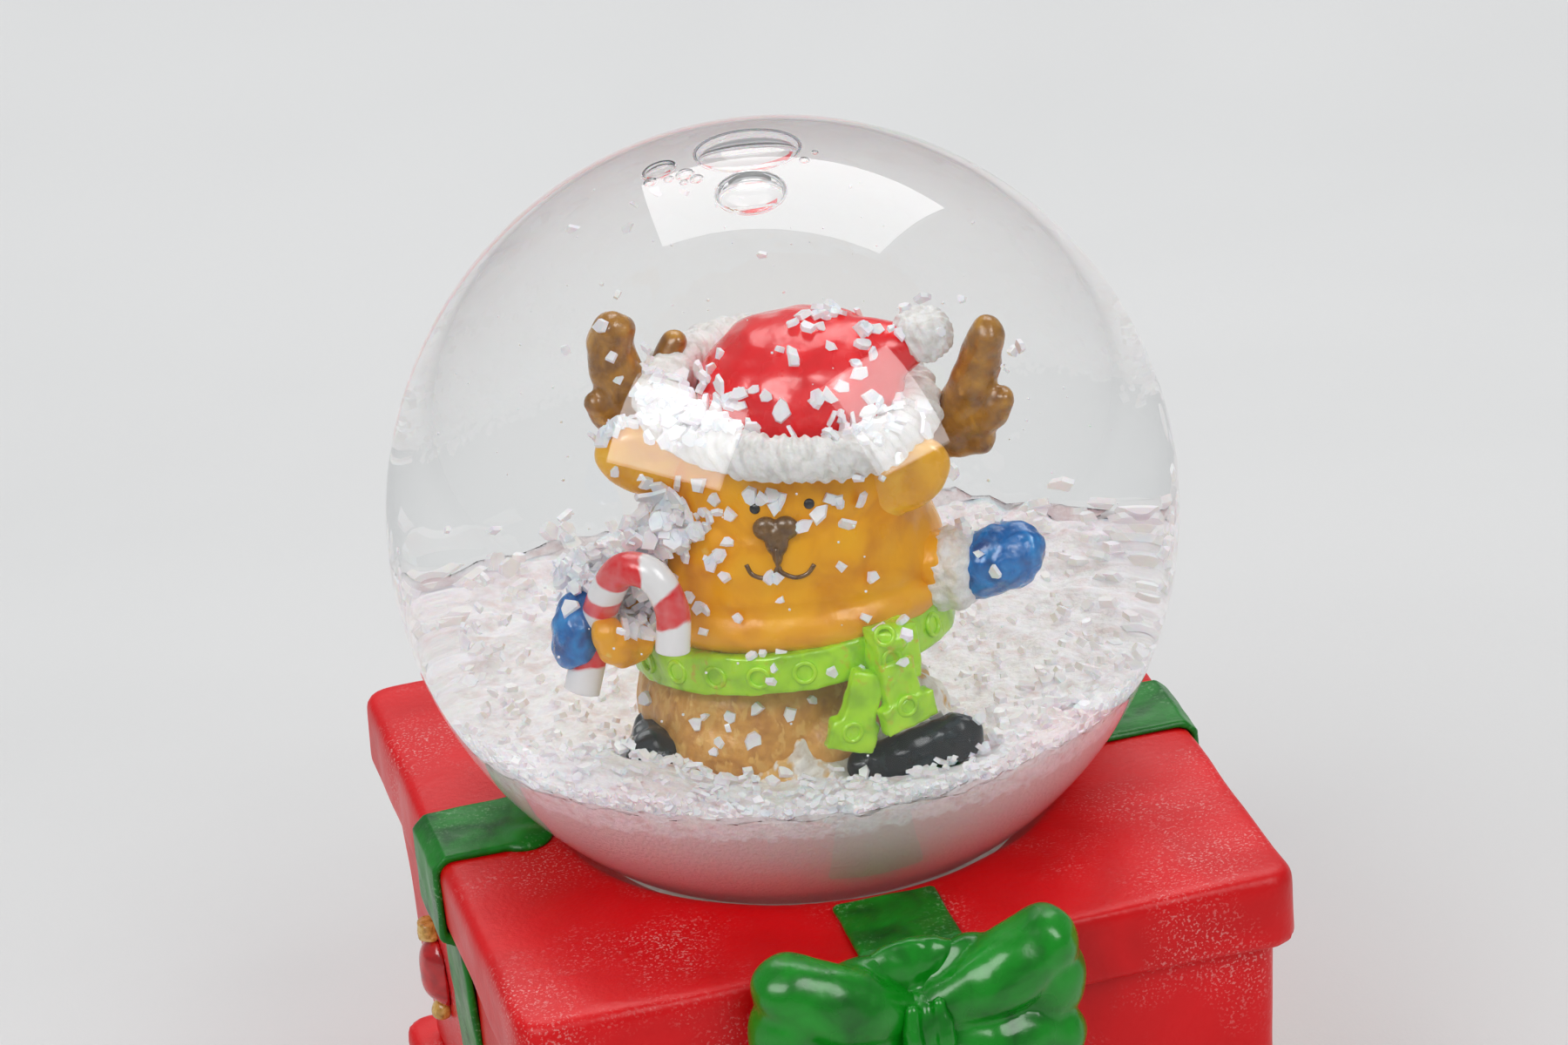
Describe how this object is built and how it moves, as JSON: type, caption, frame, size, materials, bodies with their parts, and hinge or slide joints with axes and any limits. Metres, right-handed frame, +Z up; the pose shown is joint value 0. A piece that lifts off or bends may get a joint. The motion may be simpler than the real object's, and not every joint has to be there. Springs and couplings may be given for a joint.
{
  "type": "snow globe",
  "caption": "Water-filled snow globe on a wrapped gift box: a clear ball holding a reindeer in a fur-trimmed hat, with loose snow.",
  "frame": {"origin": "centre of the flat underside, under the ball's axis", "axes": "+Z up along the ball's axis, -Y toward the bow at the front, +X to the viewer's right"},
  "size_m": [0.0456, 0.0501, 0.0645],
  "materials": {
    "box_red": "satin paint on cast resin",
    "ribbon_green": "gloss paint on cast resin",
    "gold": "gold paint on cast resin",
    "ball_glass": "clear",
    "stopper_rubber": "matte",
    "glue": "clear, slightly cloudy",
    "water": "clear liquid",
    "snow": "matte, slightly see-through",
    "coat_ochre": "satin paint",
    "antler_brown": "satin paint",
    "hat_red": "gloss paint",
    "fur_white": "matte paint",
    "eye_black": "gloss paint",
    "scarf_lime": "satin paint",
    "mitten_blue": "gloss paint",
    "cane_stripe": "red and white gloss stripes",
    "boot_black": "gloss paint"
  },
  "bodies": {
    "root": {"box_foot": "box_red", "box_body": "box_red", "box_lid": "box_red", "side_baubles": "box_red", "ribbon_front": "ribbon_green", "ribbon_right": "ribbon_green", "ribbon_back": "ribbon_green", "ribbon_left": "ribbon_green", "bow_knot": "ribbon_green", "bow_loop_left": "ribbon_green", "bow_loop_right": "ribbon_green", "bow_tail_left": "ribbon_green", "bow_tail_right": "ribbon_green", "bauble_caps": "gold", "glass_ball": "ball_glass", "rubber_stopper": "stopper_rubber", "glue_ring": "glue", "water": "water", "snow_bed": "snow", "snow_flakes": "snow", "figure_mound": "snow", "reindeer_head": "coat_ochre", "reindeer_belly": "coat_ochre", "ear_left": "coat_ochre", "ear_right": "coat_ochre", "arm_left": "coat_ochre", "arm_right": "coat_ochre", "paw": "coat_ochre", "antler_left": "antler_brown", "antler_right": "antler_brown", "nose": "antler_brown", "hat_crown": "hat_red", "hat_brim": "fur_white", "hat_pompom": "fur_white", "cuff_left": "fur_white", "cuff_right": "fur_white", "eyes": "eye_black", "scarf_band": "scarf_lime", "scarf_knot": "scarf_lime", "scarf_tail_long": "scarf_lime", "scarf_tail_short": "scarf_lime", "scarf_rings": "scarf_lime", "mitten_left": "mitten_blue", "mitten_right": "mitten_blue", "candy_cane": "cane_stripe", "boot_left": "boot_black", "boot_right": "boot_black"}
  },
  "joints": []
}
